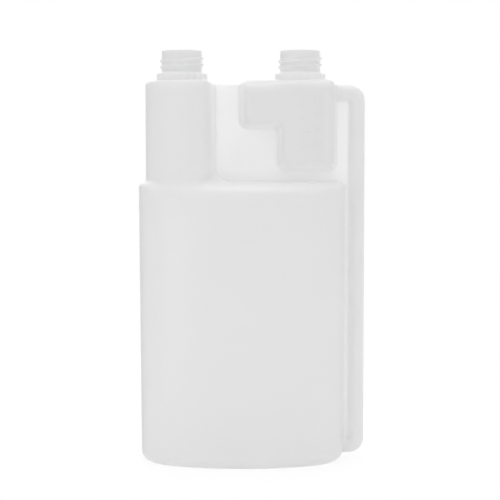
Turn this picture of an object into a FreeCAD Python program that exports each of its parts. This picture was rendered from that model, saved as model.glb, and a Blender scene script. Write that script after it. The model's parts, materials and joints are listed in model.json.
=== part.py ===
import FreeCAD, Part

import math
import os

from FreeCAD import Vector

# Dual-chamber dosing bottle, blow moulded in one piece from natural polyethylene.
# Frame: +Z up, +X to the right of the front view, -Y towards the front. The mould parts on the
# plane Y = 0, which also holds the pinched web. The origin is under the middle of the bottle.
# All lengths are in millimetres and all angles in degrees.

# Wall
wall = 0.9
base_wall = 2.6

# Main chamber: an upright oval whose outline is four tangent arcs
body_width = 127.4
body_depth = 74.6
body_end_radius = 30.0
left_draft = 1.3
right_draft = 0.45
face_draft = 0.5
base_radius = 6.0
deck_height = 173.2
deck_radius = 3.3
base_recess_rim = 11.0
base_recess_depth = 1.6

# Filler column, which rises above the left of the deck behind a narrow step
column_step = 4.45
column_width = 42.7
column_rise = 62.0
column_corner_radius = 6.0
column_side_radius = 120.0
column_top_radius = 2.5
skirt_angle = 30.0
skirt_radius = 2.4
column_foot_radius = 11.0

# Measuring chamber: an arm towards the column and a leg below its right end, clear of the deck
chamber_setback = 5.0
chamber_width = 59.8
chamber_half_depth = 19.0
chamber_rise = 62.6
arm_height = 29.5
leg_width = 36.5
leg_gap = 6.7
chamber_draft = 2.7
chamber_start_radius = 4.3
chamber_end_radius = 5.5
chamber_corner_radius = 5.0
chamber_inner_radius = 3.5
chamber_face_radius = 3.0
arm_shoulder_radius = 9.0
shoulder_fade = 20.0

# Transfer channel, from the foot of the main chamber up the right side to the measuring chamber
channel_gap = 2.9
channel_width = 9.4
channel_depth = 12.6
channel_face_radius = 4.4
channel_foot = 4.3
channel_drop = 2.85
channel_top_radius = 10.0
channel_foot_radius = 9.4
channel_bend_radius = 1.5
channel_reach = 10.0

# Web between the volumes
web_drop = 2.6
web_thickness = 2.2
web_grip = 2.0
web_edge_radius = 0.8
web_blend_radius = 1.2

# Neck finish, the same on both chambers, with its heights above the measuring chamber's top
neck_radius = 12.4
bore_radius = 10.6
neck_rise = 18.05
rim_radius = 0.5
ring_radius = 15.5
ring_rise = 4.0
ring_edge = 0.5
collar_rise = 1.2
neck_offset = 22.55
bore_reach = 5.0

# Thread on each neck
thread_pitch = 3.8
thread_depth = 1.3
thread_root = 2.4
thread_crest = 0.7
thread_turns = 1.55
thread_rise = 7.6
thread_angle = 165.0

# Ratchet teeth on the ring under each thread, in two opposed groups
tooth_count = 5
tooth_spacing = 17.0
tooth_first = 13.0
tooth_depth = 0.7
tooth_width = 1.5

# Graduation ticks moulded on the front of the leg
tick_relief = 0.35
tick_height = 0.8
tick_length = 5.0
tick_offset = 14.3
tick_drop = 14.3
tick_spacing = 8.9
tick_count = 5

# Places that follow from the sizes above
body_left = -(body_width + channel_gap + channel_width) / 2
body_right = body_left + body_width
channel_inner = body_right + channel_gap
channel_outer = channel_inner + channel_width
half_depth = body_depth / 2
column_left = body_left + column_step
column_top = deck_height + column_rise
column_right = column_left + column_width
chamber_top = deck_height + chamber_rise
chamber_right = body_right - chamber_setback
chamber_left = chamber_right - chamber_width
leg_left = chamber_right - leg_width
arm_floor = chamber_top - arm_height
leg_floor = deck_height + leg_gap
channel_ceiling = chamber_top - channel_drop
web_top = chamber_top - web_drop
rim_height = chamber_top + neck_rise
ring_height = chamber_top + ring_rise
thread_start = chamber_top + thread_rise
filler_x = column_left + neck_offset
dosing_x = chamber_right - neck_offset

# Small overlaps that keep neighbouring solids from only touching
overlap = 0.5
sink = 0.03

# How near an edge lies to a plane that it counts as in, and how many steps a curved run of
# sections is taken in
near = 0.01
arc_steps = 4

# Each neck's axis, and the height inside its chamber's top where the neck takes root
neck_roots = (
    (filler_x, column_top - overlap),
    (dosing_x, chamber_top - arm_shoulder_radius / 2),
)


def point_on(centre, radius, angle, z):
    """Return the point of a level circle at an angle from +X."""
    return Vector(centre[0] + radius * math.cos(angle), centre[1] + radius * math.sin(angle), z)


def level_arc(centre, radius, start, end, z):
    """Return the arc of a level circle from one angle to another."""
    middle = (start + end) / 2
    ends = [point_on(centre, radius, angle, z) for angle in (start, middle, end)]
    return Part.Arc(*ends).toShape()


def face_radius(half_width, half, end_radius):
    """Radius of the arc that joins two end arcs and passes the given half depth."""
    return ((half_width - end_radius) ** 2 + half ** 2 - end_radius ** 2) / (2 * (half - end_radius))


def oval(left, right, half, end_radius, z):
    """Closed outline of two end arcs and two face arcs, tangent where they meet."""
    middle = (left + right) / 2
    half_width = (right - left) / 2
    radius = face_radius(half_width, half, end_radius)
    lean = math.atan2(radius - half, half_width - end_radius)
    right_end = (middle + half_width - end_radius, 0)
    left_end = (middle - half_width + end_radius, 0)
    front = (middle, radius - half)
    back = (middle, half - radius)
    return Part.Wire([
        level_arc(right_end, end_radius, -lean, lean, z),
        level_arc(back, radius, lean, math.pi - lean, z),
        level_arc(left_end, end_radius, math.pi - lean, math.pi + lean, z),
        level_arc(front, radius, math.pi + lean, 2 * math.pi - lean, z),
    ])


def edges_near_height(shape, z):
    """Edges that lie at one height."""
    return [
        edge for edge in shape.Edges
        if abs(edge.BoundBox.ZMin - z) < near and abs(edge.BoundBox.ZMax - z) < near
    ]


def body_chamber(inset, low):
    """Main chamber above a level, drawn in from its outer surface by the inset."""
    high = deck_height - inset
    base = oval(body_left + left_draft + inset, body_right - right_draft - inset,
                half_depth - face_draft - inset, body_end_radius - inset, low)
    deck = oval(body_left + inset, body_right - inset,
                half_depth - inset, body_end_radius - inset, high)
    solid = Part.makeLoft([base, deck], True, True)
    solid = solid.makeFillet(base_radius - inset, edges_near_height(solid, low))
    return solid.makeFillet(deck_radius - inset, edges_near_height(solid, high))


def column_section(inset, right, corner_radius, z):
    """Level outline of the column: the deck outline drawn in, closed by a rounded right side."""
    half_width = body_width / 2
    middle = body_left + half_width
    radius = face_radius(half_width, half_depth, body_end_radius)
    lean = math.atan2(radius - half_depth, half_width - body_end_radius)
    left_end = (body_left + body_end_radius, 0)
    back = (middle, half_depth - radius)
    face = radius - inset
    side_radius = column_side_radius
    side = (right - side_radius, 0)
    # The corner arc touches the face arc and the side arc from inside
    to_face = face - corner_radius
    to_side = side_radius - corner_radius
    gap_x = side[0] - back[0]
    gap_y = side[1] - back[1]
    gap = math.hypot(gap_x, gap_y)
    along = (to_face ** 2 - to_side ** 2 + gap ** 2) / (2 * gap)
    across = math.sqrt(to_face ** 2 - along ** 2)
    corner_x = back[0] + (along * gap_x + across * gap_y) / gap
    corner_y = back[1] + (along * gap_y - across * gap_x) / gap
    face_angle = math.atan2(corner_y - back[1], corner_x - back[0])
    side_angle = math.atan2(corner_y - side[1], corner_x - side[0])
    front = (middle, -back[1])
    end = body_end_radius - inset
    return Part.Wire([
        level_arc(side, side_radius, -side_angle, side_angle, z),
        level_arc((corner_x, corner_y), corner_radius, side_angle, face_angle, z),
        level_arc(back, face, face_angle, math.pi - lean, z),
        level_arc(left_end, end, math.pi - lean, math.pi + lean, z),
        level_arc(front, face, math.pi + lean, 2 * math.pi - face_angle, z),
        level_arc((corner_x, -corner_y), corner_radius, -face_angle, -side_angle, z),
    ])


def column(inset):
    """Filler column with the skirt at its foot, drawn in by the inset."""
    slope = math.radians(skirt_angle)
    edge_radius = deck_radius - inset
    hollow_radius = skirt_radius + inset
    # The skirt's straight part dips just under the rounded deck edge and runs up to a hollow
    # arc that ends upright at the column wall
    hollow_inset = column_step - skirt_radius
    rise = deck_radius + skirt_radius - sink + math.sin(slope) * (hollow_inset - deck_radius)
    hollow_height = deck_height - deck_radius + rise / math.cos(slope)
    foot_height = deck_height + column_foot_radius - sink
    start_inset = deck_radius - (edge_radius - sink) * math.sin(slope)
    start_height = deck_height - deck_radius + (edge_radius - sink) * math.cos(slope)
    # Heights where the outline is taken: along the hollow arc, then along the foot on the right
    heights = [start_height]
    for step in range(arc_steps + 1):
        angle = (math.pi / 2 - slope) * (1 - step / arc_steps)
        heights.append(hollow_height - hollow_radius * math.sin(angle))
    last = heights[-1]
    for step in range(1, arc_steps + 1):
        heights.append(last + (foot_height - last) * step / arc_steps)
    sections = []
    for height in heights:
        drop = hollow_height - height
        if drop <= 0:
            front_inset = column_step + inset
        elif drop < hollow_radius * math.cos(slope):
            front_inset = hollow_inset + math.sqrt(hollow_radius ** 2 - drop ** 2)
        else:
            front_inset = start_inset + (height - start_height) / math.tan(slope)
        foot_drop = min(foot_height - height, column_foot_radius + inset - sink)
        spread = math.sqrt((column_foot_radius + inset) ** 2 - foot_drop ** 2)
        flare = column_foot_radius - spread
        sections.append(column_section(front_inset, column_right + flare,
                                       column_corner_radius + flare, height))
    foot = Part.makeLoft(sections, True, False)
    top = column_top - inset
    outline = column_section(column_step + inset, column_right - inset,
                             column_corner_radius - inset, foot_height)
    shaft = Part.Face(outline).extrude(Vector(0, 0, top - foot_height))
    shaft = shaft.makeFillet(column_top_radius - inset, edges_near_height(shaft, top))
    return foot.fuse(shaft)


def rounded_outline(corners, y):
    """Closed outline in an upright plane from (x, z, radius) corners that all turn square."""
    count = len(corners)
    pieces = []
    ends = []
    for index, (x, z, radius) in enumerate(corners):
        here = Vector(x, y, z)
        before = Vector(corners[index - 1][0], y, corners[index - 1][1])
        after = Vector(corners[(index + 1) % count][0], y, corners[(index + 1) % count][1])
        back = (before - here).normalize()
        ahead = (after - here).normalize()
        ends.append((here + back * radius, here + ahead * radius))
        if radius > 0:
            centre = here + (back + ahead) * radius
            middle = centre - (back + ahead) * (radius / math.sqrt(2))
            pieces.append(Part.Arc(ends[-1][0], middle, ends[-1][1]).toShape())
    for index in range(count):
        pieces.append(Part.makeLine(ends[index - 1][1], ends[index][0]))
    return Part.Wire(Part.__sortEdges__(pieces))


def edges_at_depth(shape, y, past):
    """Edges in one upright plane, other than those at or left of an X."""
    return [
        edge for edge in shape.Edges
        if abs(edge.BoundBox.YMin - y) < near and abs(edge.BoundBox.YMax - y) < near
        and edge.BoundBox.XMax > past
    ]


def both_sides(front):
    """Join a solid of the front half with its mirror image at the back."""
    return front.fuse(front.mirror(Vector(0, 0, 0), Vector(0, 1, 0)))


def flank():
    """Depths and leans of the chamber's sides, from the face to the web's soft blend."""
    half_web = web_thickness / 2
    slope = chamber_draft / chamber_half_depth
    start = half_web + web_blend_radius
    leans = [(chamber_half_depth, chamber_draft), (start, slope * start)]
    for step in range(1, arc_steps + 1):
        angle = math.pi / 2 * step / arc_steps
        y = start - web_blend_radius * math.sin(angle)
        leans.append((y, slope * y - web_blend_radius * (1 - math.cos(angle))))
    return leans


def chamber(inset):
    """Measuring chamber, an arm and a leg whose sides lean in from the mould's parting plane."""
    top = chamber_top - inset
    half = chamber_half_depth - inset
    if inset > 0:
        front = [(half, chamber_draft), (0, 0)]
        middle = []
    else:
        front = flank()
        middle = [(0, front[-1][1])]
    depths = [(-y, lean) for y, lean in front] + middle
    depths += [(y, lean) for y, lean in reversed(front) if y > 0]
    sections = []
    for y, lean in depths:
        side = inset + lean
        outer = chamber_corner_radius - side / 2
        widening = min(lean, 0) + inset
        sections.append(rounded_outline([
            (chamber_left + side, top, chamber_start_radius - widening),
            (chamber_right - side, top, chamber_end_radius - widening),
            (chamber_right - side, leg_floor + side, outer),
            (leg_left + side, leg_floor + side, outer),
            (leg_left + side, arm_floor + side, chamber_inner_radius + side / 2),
            (chamber_left + side, arm_floor + side, outer),
        ], y))
    solid = Part.makeLoft(sections, True, True)
    rims = edges_at_depth(solid, -half, chamber_left) + edges_at_depth(solid, half, chamber_left)
    solid = solid.makeFillet(chamber_face_radius - inset, rims)
    return solid.cut(both_sides(arm_shoulder(inset)))


def arm_shoulder(inset):
    """What the wide rounding along the arm's top takes away, fading out above the leg."""
    half = chamber_half_depth - inset
    top = chamber_top - inset
    sections = []
    for x, radius in (
        (chamber_left - overlap, arm_shoulder_radius),
        (leg_left - shoulder_fade / 2, arm_shoulder_radius),
        (leg_left + shoulder_fade / 2, chamber_face_radius),
    ):
        y = -(chamber_half_depth - radius)
        z = chamber_top - radius
        round_radius = radius - inset - sink
        diagonal = round_radius / math.sqrt(2)
        arc = Part.Arc(Vector(x, y, z + round_radius), Vector(x, y - diagonal, z + diagonal),
                       Vector(x, y - round_radius, z)).toShape()
        sections.append(Part.Wire([
            arc,
            Part.makeLine(Vector(x, y - round_radius, z), Vector(x, -half - overlap, z)),
            Part.makeLine(Vector(x, -half - overlap, z), Vector(x, -half - overlap, top + overlap)),
            Part.makeLine(Vector(x, -half - overlap, top + overlap), Vector(x, y, top + overlap)),
            Part.makeLine(Vector(x, y, top + overlap), Vector(x, y, z + round_radius)),
        ]))
    return Part.makeLoft(sections, True, True)


def channel(inset):
    """Transfer channel, a rounded tube in the mould's parting plane."""
    half = channel_depth / 2 - inset
    start = body_right - channel_reach
    foot = channel_foot + inset
    outer = channel_outer - inset
    inner = channel_inner + inset
    ceiling = channel_ceiling - inset
    bend = channel_bend_radius + inset
    outline = rounded_outline([
        (start, foot, 0),
        (outer, foot, channel_foot_radius - inset),
        (outer, ceiling, channel_top_radius - inset),
        (start, ceiling, 0),
        (start, channel_ceiling - channel_width + inset, 0),
        (inner, channel_ceiling - channel_width + inset, bend),
        (inner, channel_foot + channel_width - inset, bend),
        (start, channel_foot + channel_width - inset, 0),
    ], -half)
    solid = Part.Face(outline).extrude(Vector(0, 2 * half, 0))
    rims = edges_at_depth(solid, -half, start + overlap) + edges_at_depth(solid, half, start + overlap)
    return solid.makeFillet(channel_face_radius - inset, rims)


def web():
    """Flat pinched web that joins the volumes in the parting plane."""
    left = column_right - web_grip
    right = channel_inner + web_grip
    link = channel_foot + channel_width - web_grip
    deck = deck_height - web_grip
    below = channel_ceiling - channel_width / 2
    outline = rounded_outline([
        (left, deck, 0),
        (left, web_top, 0),
        (chamber_right - web_grip, web_top, 0),
        (chamber_right - web_grip, below, 0),
        (right, below, 0),
        (right, link, 0),
        (body_right - web_grip, link, 0),
        (body_right - web_grip, deck, 0),
    ], -web_thickness / 2)
    plate = Part.Face(outline).extrude(Vector(0, web_thickness, 0))
    return plate.makeFillet(web_edge_radius, [
        edge for edge in edges_near_height(plate, web_top) if edge.Length > web_thickness + overlap
    ])


def column_blend():
    """Soft strip where the web meets the column's upright side."""
    half_web = web_thickness / 2
    edge = column_right - sink
    far = edge + web_blend_radius
    deep = half_web + web_blend_radius
    bulge = web_blend_radius * (1 - 1 / math.sqrt(2))
    z = deck_height + column_foot_radius
    arc = Part.Arc(Vector(far, half_web - sink, z), Vector(edge + bulge, half_web + bulge, z),
                   Vector(edge - sink, deep, z)).toShape()
    rest = Part.makePolygon([
        Vector(edge - sink, deep, z),
        Vector(edge - overlap, deep, z),
        Vector(edge - overlap, 0, z),
        Vector(far, 0, z),
        Vector(far, half_web - sink, z),
    ])
    strip = Part.Face(Part.Wire([arc] + rest.Edges)).extrude(Vector(0, 0, web_top - z))
    return both_sides(strip)


def web_junctions(shape):
    """Edges where the web meets the deck and the main chamber's right side."""
    return [
        edge for edge in edges_at_depth(shape, -web_thickness / 2, column_right)
        + edges_at_depth(shape, web_thickness / 2, column_right)
        if edge.BoundBox.ZMax < deck_height + overlap
        and edge.BoundBox.XMin > column_right + overlap
        and edge.BoundBox.XMax < body_right + overlap
    ]


def standing_cylinder(x, radius, low, high):
    """Upright round bar on a neck's axis."""
    return Part.makeCylinder(radius, high - low, Vector(x, 0, low))


def thread(x):
    """Right-hand thread, a ridge that climbs round the neck."""
    root = neck_radius - sink
    path = Part.makeHelix(thread_pitch, thread_pitch * thread_turns, root)
    profile = Part.makePolygon([
        Vector(root, 0, -thread_root / 2),
        Vector(neck_radius + thread_depth, 0, -thread_crest / 2),
        Vector(neck_radius + thread_depth, 0, thread_crest / 2),
        Vector(root, 0, thread_root / 2),
        Vector(root, 0, -thread_root / 2),
    ])
    ridge = Part.Wire(path.Edges).makePipeShell([profile], True, True)
    ridge = Part.Solid(ridge) if ridge.ShapeType == "Shell" else ridge
    ridge.rotate(Vector(0, 0, 0), Vector(0, 0, 1), thread_angle)
    ridge.translate(Vector(x, 0, thread_start))
    return ridge


def neck(x, root):
    """Neck with its rim, its ratchet ring and the collar above the ring."""
    barrel = standing_cylinder(x, neck_radius, root, rim_height)
    barrel = barrel.makeFillet(rim_radius, edges_near_height(barrel, rim_height))
    ring = standing_cylinder(x, ring_radius, root, ring_height)
    ring = ring.makeChamfer(ring_edge, edges_near_height(ring, ring_height))
    for side in (0, 180):
        for tooth in range(tooth_count):
            ring = ring.cut(tooth_notch(x, side + tooth_first + tooth * tooth_spacing))
    collar = Part.makeCone(neck_radius + collar_rise, neck_radius, collar_rise,
                           Vector(x, 0, ring_height))
    return barrel.fuse([ring, collar])


def tooth_notch(x, turn):
    """Saw-tooth notch in a ratchet ring at an angle from the front, counted to the right."""
    start = math.radians(turn - 90)
    end = start + tooth_width / ring_radius
    outside = ring_radius + overlap
    low = column_top + ring_edge
    outline = Part.makePolygon([
        point_on((x, 0), ring_radius - tooth_depth, start, low),
        point_on((x, 0), outside, start, low),
        point_on((x, 0), outside, end, low),
        point_on((x, 0), ring_radius - tooth_depth, start, low),
    ])
    return Part.Face(outline).extrude(Vector(0, 0, rim_height - low))


def base_recess():
    """Shallow hollow under the base, which leaves a level rim to stand on."""
    sections = []
    for z in (-overlap, base_recess_depth):
        inset = base_recess_rim + z
        sections.append(oval(body_left + left_draft + inset, body_right - right_draft - inset,
                             half_depth - face_draft - inset, body_end_radius - inset, z))
    return Part.makeLoft(sections, True, True)


def ticks():
    """Graduation ticks down the front of the leg."""
    front = -chamber_half_depth - tick_relief
    bars = []
    for index in range(tick_count):
        z = chamber_top - tick_drop - index * tick_spacing
        bars.append(Part.makeBox(tick_length, tick_relief + overlap, tick_height,
                                 Vector(leg_left + tick_offset, front, z)))
    return bars


def outer_volumes():
    """Everything that the bottle's outer surface encloses, apart from ticks and threads."""
    volumes = [body_chamber(0.0, 0.0), column(0.0), chamber(0.0), channel(0.0), web(),
               column_blend()]
    volumes += [neck(x, root) for x, root in neck_roots]
    joined = volumes[0].fuse(volumes[1:])
    return joined.makeFillet(web_blend_radius, web_junctions(joined))


def hollow():
    """The connected space inside, open through both necks."""
    spaces = [body_chamber(wall, base_wall), column(wall), chamber(wall), channel(wall)]
    for x, root in neck_roots:
        spaces.append(standing_cylinder(x, bore_radius, root - bore_reach, rim_height + overlap))
    return spaces[0].fuse(spaces[1:])


bottle = outer_volumes().fuse(ticks())
bottle = bottle.cut(hollow()).cut(base_recess())
bottle = bottle.fuse([thread(x) for x, root in neck_roots])

os.makedirs("parts", exist_ok=True)
bottle.exportStep("parts/bottle.step")
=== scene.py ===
import json
import logging
import math
from collections.abc import Callable, Iterator
from contextlib import contextmanager
from dataclasses import dataclass
from enum import Enum
from typing import Any

import bmesh
import bpy
import numpy as np
from mathutils import Matrix, Vector


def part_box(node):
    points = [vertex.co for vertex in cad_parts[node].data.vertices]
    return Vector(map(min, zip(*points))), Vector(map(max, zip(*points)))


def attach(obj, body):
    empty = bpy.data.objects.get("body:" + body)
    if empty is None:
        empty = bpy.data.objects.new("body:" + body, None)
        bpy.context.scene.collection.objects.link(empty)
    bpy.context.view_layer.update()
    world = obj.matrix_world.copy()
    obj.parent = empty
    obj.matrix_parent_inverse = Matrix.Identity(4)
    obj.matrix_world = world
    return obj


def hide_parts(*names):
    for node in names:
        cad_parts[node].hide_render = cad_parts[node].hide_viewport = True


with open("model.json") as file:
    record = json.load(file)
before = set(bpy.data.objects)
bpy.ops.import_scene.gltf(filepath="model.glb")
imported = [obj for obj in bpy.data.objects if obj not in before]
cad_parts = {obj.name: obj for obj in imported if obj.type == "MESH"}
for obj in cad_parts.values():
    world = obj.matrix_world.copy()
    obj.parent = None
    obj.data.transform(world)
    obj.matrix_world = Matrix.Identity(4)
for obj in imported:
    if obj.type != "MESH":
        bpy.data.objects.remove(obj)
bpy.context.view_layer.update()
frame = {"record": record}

# Looks of a natural polyethylene dosing bottle with two chambers. Its walls are worked out as
# distance fields that are joined with soft fillets, as a blow mould leaves them, and turned into
# a mesh of quads. Threads, ratchet notches and ticks are made with Geometry Nodes, and the
# numbers from text curves. One set of Booleans then gives a single closed wall, open through
# both necks. All lengths are in metres, in the frame of the CAD model: +Z up, +X to the right,
# -Y to the front.

MM = 0.001
NODE = "bottle"
BODY = "root"
LOG = logging.getLogger("bottle")

Field = np.ndarray
Color = tuple[float, float, float, float]
Runs = tuple[tuple[float, float], ...]

WHITE: Color = (1.0, 1.0, 1.0, 1.0)


def meet(a: Field, b: Field, radius: float | Field) -> Field:
    """Distance to what two forms both hold, with the edge between them rounded.

    Args:
        a: distances to the first form.
        b: distances to the second form.
        radius: radius of the rounded edge.

    Returns:
        Distances to the common part.
    """
    outside = np.hypot(np.maximum(a + radius, 0.0), np.maximum(b + radius, 0.0))
    return np.minimum(np.maximum(a, b), -radius) + outside


def join(a: Field, b: Field, radius: float | Field) -> Field:
    """Distance to two forms together, with a fillet where they meet.

    Args:
        a: distances to the first form.
        b: distances to the second form.
        radius: radius of the fillet.

    Returns:
        Distances to the two forms joined.
    """
    inside = np.hypot(np.maximum(radius - a, 0.0), np.maximum(radius - b, 0.0))
    return np.maximum(np.minimum(a, b), radius) - inside


def ease(low: float, high: float, value: Field) -> Field:
    """Smooth step from 0 at the low value to 1 at the high one."""
    part = np.clip((value - low) / (high - low), 0.0, 1.0)
    return part * part * (3.0 - 2.0 * part)


@dataclass(frozen=True)
class Places:
    """Places where a distance is wanted.

    Args:
        x: distances to the right.
        y: distances to the back.
        z: heights.
    """

    x: Field
    y: Field
    z: Field


Form = Callable[[Places], Field]


def slope(form: Form, points: Field, probe: float = 0.02 * MM) -> tuple[Field, Field]:
    """Distance and its gradient at points.

    Args:
        form: function from places to distances.
        points: one row for each point.
        probe: how far to each side of a point the gradient is taken.

    Returns:
        The distances, and one row of gradient for each point.
    """
    shift = np.eye(3) * probe
    ahead = [form(Places(*(points + step).T)) for step in shift]
    behind = [form(Places(*(points - step).T)) for step in shift]
    gradient = (np.stack(ahead, axis=1) - np.stack(behind, axis=1)) / (2 * probe)
    return form(Places(*points.T)), gradient


@dataclass(frozen=True)
class Overall:
    """What the frame fixes: the bottle's box and the axes and bores of its necks.

    Args:
        left: left end of the main chamber at the deck.
        right: outer side of the transfer channel.
        half_depth: half of the depth at the deck.
        rim: height of both rims.
        filler: distance of the filler neck's axis from the middle, along X.
        dosing: distance of the dosing neck's axis from the middle, along X.
        bore: radius of both bores.
    """

    left: float
    right: float
    half_depth: float
    rim: float
    filler: float
    dosing: float
    bore: float

    @classmethod
    def from_frame(cls) -> "Overall":
        """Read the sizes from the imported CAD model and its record."""
        low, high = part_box(NODE)
        mounts = {mount["name"]: mount for mount in frame["record"]["mounts"]}
        # The box is symmetric about the middle, and its X is the widest at the channel
        return cls(
            left=-high.x,
            right=high.x,
            half_depth=high.y,
            rim=high.z,
            filler=mounts["filler_bore"]["pos_m"][0],
            dosing=mounts["dosing_bore"]["pos_m"][0],
            bore=mounts["filler_bore"]["dims"]["r_mm"] * MM,
        )


@dataclass(frozen=True)
class Oval:
    """Level outline of four arcs that meet tangentially.

    Args:
        left: left end, one value or one for each place.
        right: right end.
        half: half of the depth.
        end: radius of the two end arcs.
    """

    left: float | Field
    right: float | Field
    half: float | Field
    end: float

    def distance(self, at: Places) -> Field:
        """Distance from the outline, negative inside it."""
        across = np.abs(at.x - (self.left + self.right) / 2)
        deep = np.abs(at.y)
        reach = (self.right - self.left) / 2 - self.end
        face = (reach**2 + self.half**2 - self.end**2) / (2 * (self.half - self.end))
        lean = np.arctan2(face - self.half, reach)
        past = deep * np.cos(lean) - (across - reach) * np.sin(lean)
        around_end = np.hypot(across - reach, deep) - self.end
        along_face = np.hypot(across, deep + face - self.half) - face
        return np.where(past > 0, along_face, around_end)


@dataclass(frozen=True)
class MainChamber:
    """Upright oval chamber with a flat deck and a shallow hollow under its base."""

    whole: Overall
    width: float = 127.4 * MM
    end: float = 30.0 * MM
    left_draft: float = 1.3 * MM
    right_draft: float = 0.45 * MM
    face_draft: float = 0.5 * MM
    deck: float = 173.2 * MM
    deck_edge: float = 3.3 * MM
    face_edge: float = 9.0 * MM
    edge_turn: tuple[float, float] = (0.72, 0.97)
    base_edge: float = 6.0 * MM
    recess_rim: float = 11.0 * MM
    recess_depth: float = 1.6 * MM
    recess_edge: float = 0.9 * MM
    scar_half: float = 38.0 * MM
    scar_radius: float = 0.65 * MM
    scar_sway: float = 0.07 * MM
    scar_wave: float = 2.1 * MM
    scar_beat: float = 2.7

    @property
    def right(self) -> float:
        """Right end at the deck."""
        return self.whole.left + self.width

    def outline(self) -> Oval:
        """Outline of the deck."""
        return Oval(self.whole.left, self.right, self.whole.half_depth, self.end)

    def distance(self, at: Places) -> Field:
        """Distance from the chamber's outer surface, without the hollow under it."""
        narrowing = 1.0 - np.clip(at.z / self.deck, 0.0, 1.0)
        level = Oval(
            self.whole.left + self.left_draft * narrowing,
            self.right - self.right_draft * narrowing,
            self.whole.half_depth - self.face_draft * narrowing,
            self.end,
        )
        side = level.distance(at)
        # The rounding of the deck is wider along the faces than round the ends
        out = np.abs(at.x - (self.whole.left + self.right) / 2) / (self.width / 2)
        edge = self.face_edge + (self.deck_edge - self.face_edge) * ease(*self.edge_turn, out)
        return meet(meet(side, at.z - self.deck, edge), -at.z, self.base_edge)

    def recess(self, at: Places) -> Field:
        """Distance from the hollow under the base."""
        side = self.outline().distance(at) + self.recess_rim + at.z
        return meet(side, at.z - self.recess_depth, self.recess_edge)

    def scar(self, at: Places) -> Field:
        """Distance from the ridge where the mould pinched off the base."""
        middle = (self.whole.left + self.right) / 2
        along = at.x / self.scar_wave
        uneven = self.scar_sway * (np.sin(along) + np.sin(along * self.scar_beat))
        bar = np.hypot(at.y - uneven, at.z - self.recess_depth) - self.scar_radius + uneven / 2
        return meet(bar, np.abs(at.x - middle) - self.scar_half, self.scar_radius / 2)


@dataclass(frozen=True)
class FillerColumn:
    """Column that rises from the left of the deck behind a narrow step."""

    main: MainChamber
    step: float = 4.45 * MM
    width: float = 42.7 * MM
    rise: float = 62.0 * MM
    corner: float = 6.0 * MM
    side: float = 120.0 * MM
    top_edge: float = 2.5 * MM
    skirt: float = 2.4 * MM
    foot: float = 11.0 * MM
    foot_near: float = 2.0 * MM
    foot_far: float = 15.0 * MM
    root: float = 12.0 * MM

    @property
    def right(self) -> float:
        """Right side, towards the web."""
        return self.main.whole.left + self.step + self.width

    @property
    def top(self) -> float:
        """Height of the column's top."""
        return self.main.deck + self.rise

    def distance(self, at: Places) -> Field:
        """Distance from the column's outer surface."""
        face = self.main.outline().distance(at) + self.step
        side = np.hypot(at.x - self.right + self.side, at.y) - self.side
        shaft = meet(meet(face, side, self.corner), at.z - self.top, self.top_edge)
        return np.maximum(shaft, self.main.deck - self.root - at.z)

    def fillet(self, at: Places) -> Field:
        """Radius of the fillet to the deck: narrow round the skirt, wide towards the web."""
        depth = -(self.main.outline().distance(at) + self.step)
        return self.skirt + (self.foot - self.skirt) * ease(self.foot_near, self.foot_far, depth)


@dataclass(frozen=True)
class MeasuringChamber:
    """Chamber of an arm towards the column and a leg below its right end."""

    main: MainChamber
    setback: float = 5.0 * MM
    width: float = 59.8 * MM
    half: float = 19.0 * MM
    rise: float = 62.6 * MM
    arm_height: float = 29.5 * MM
    leg_width: float = 36.5 * MM
    leg_gap: float = 6.7 * MM
    draft: float = 2.7 * MM
    start_edge: float = 4.3 * MM
    end_edge: float = 3.4 * MM
    corner: float = 5.0 * MM
    inner: float = 3.5 * MM
    face_edge: float = 4.8 * MM
    shoulder: float = 9.0 * MM
    fade: float = 12.0 * MM

    @property
    def right(self) -> float:
        """Right side of the leg."""
        return self.main.right - self.setback

    @property
    def left(self) -> float:
        """Left end of the arm."""
        return self.right - self.width

    @property
    def leg_left(self) -> float:
        """Left side of the leg."""
        return self.right - self.leg_width

    @property
    def top(self) -> float:
        """Height of the chamber's top."""
        return self.main.deck + self.rise

    def distance(self, at: Places) -> Field:
        """Distance from the chamber's outer surface."""
        lean = self.draft * np.abs(at.y) / self.half
        over = at.z - self.top
        left = self.left - at.x + lean
        right = at.x - self.right + lean
        below = self.main.deck + self.leg_gap - at.z + lean
        block = np.maximum(
            np.maximum(meet(left, over, self.start_edge), meet(right, over, self.end_edge)),
            meet(right, below, self.corner),
        )
        notch = meet(
            at.x - self.leg_left - lean, at.z - self.top + self.arm_height - lean, self.inner
        )
        sides = meet(block, -notch, self.corner)
        face = np.abs(at.y) - self.half
        # The arm's long upper edges are rounded far more than the leg's
        turn = ease(self.leg_left - self.fade, self.leg_left + self.fade, at.x)
        edge = self.shoulder + (self.face_edge - self.shoulder) * turn
        return np.maximum(meet(sides, face, self.face_edge), meet(over, face, edge))


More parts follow.
